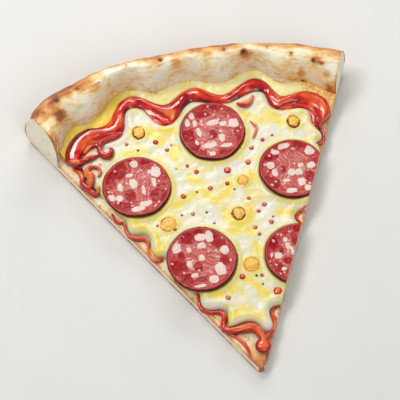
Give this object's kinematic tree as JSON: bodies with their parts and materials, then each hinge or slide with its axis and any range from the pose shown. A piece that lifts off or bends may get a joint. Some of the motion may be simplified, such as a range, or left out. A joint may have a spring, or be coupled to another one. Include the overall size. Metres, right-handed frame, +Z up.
{
  "type": "pepperoni pizza slice",
  "caption": "Wedge-shaped slice of pizza with a thin base, a puffed crust rim, a ribbon of sauce, melted cheese, round slices of pepperoni and toasted cheese bubbles.",
  "frame": {"origin": "middle of the underside's bounding rectangle, on the surface the slice lies on", "axes": "+Z up, out of the toppings; +Y from the point to the middle of the crust rim; +X to the right seen from the point"},
  "size_m": [0.1688, 0.1752, 0.025],
  "materials": {
    "dough": "baked, floury, browned in places",
    "golden_cheese": "melted, satin",
    "sauce": "wet, glossy",
    "cheese": "melted, satin",
    "pepperoni": "oily, speckled with fat",
    "toasted_cheese": "toasted, satin"
  },
  "bodies": {
    "root": {"dough": "dough", "cheese_border": "golden_cheese", "sauce": "sauce", "cheese": "cheese", "pepperoni_left": "pepperoni", "pepperoni_top": "pepperoni", "pepperoni_low": "pepperoni", "pepperoni_right": "pepperoni", "pepperoni_lower_right": "pepperoni", "cheese_bubble_1": "toasted_cheese", "cheese_bubble_2": "toasted_cheese", "cheese_bubble_3": "toasted_cheese", "cheese_bubble_4": "toasted_cheese", "cheese_bubble_5": "toasted_cheese", "cheese_bubble_6": "toasted_cheese"}
  },
  "joints": []
}
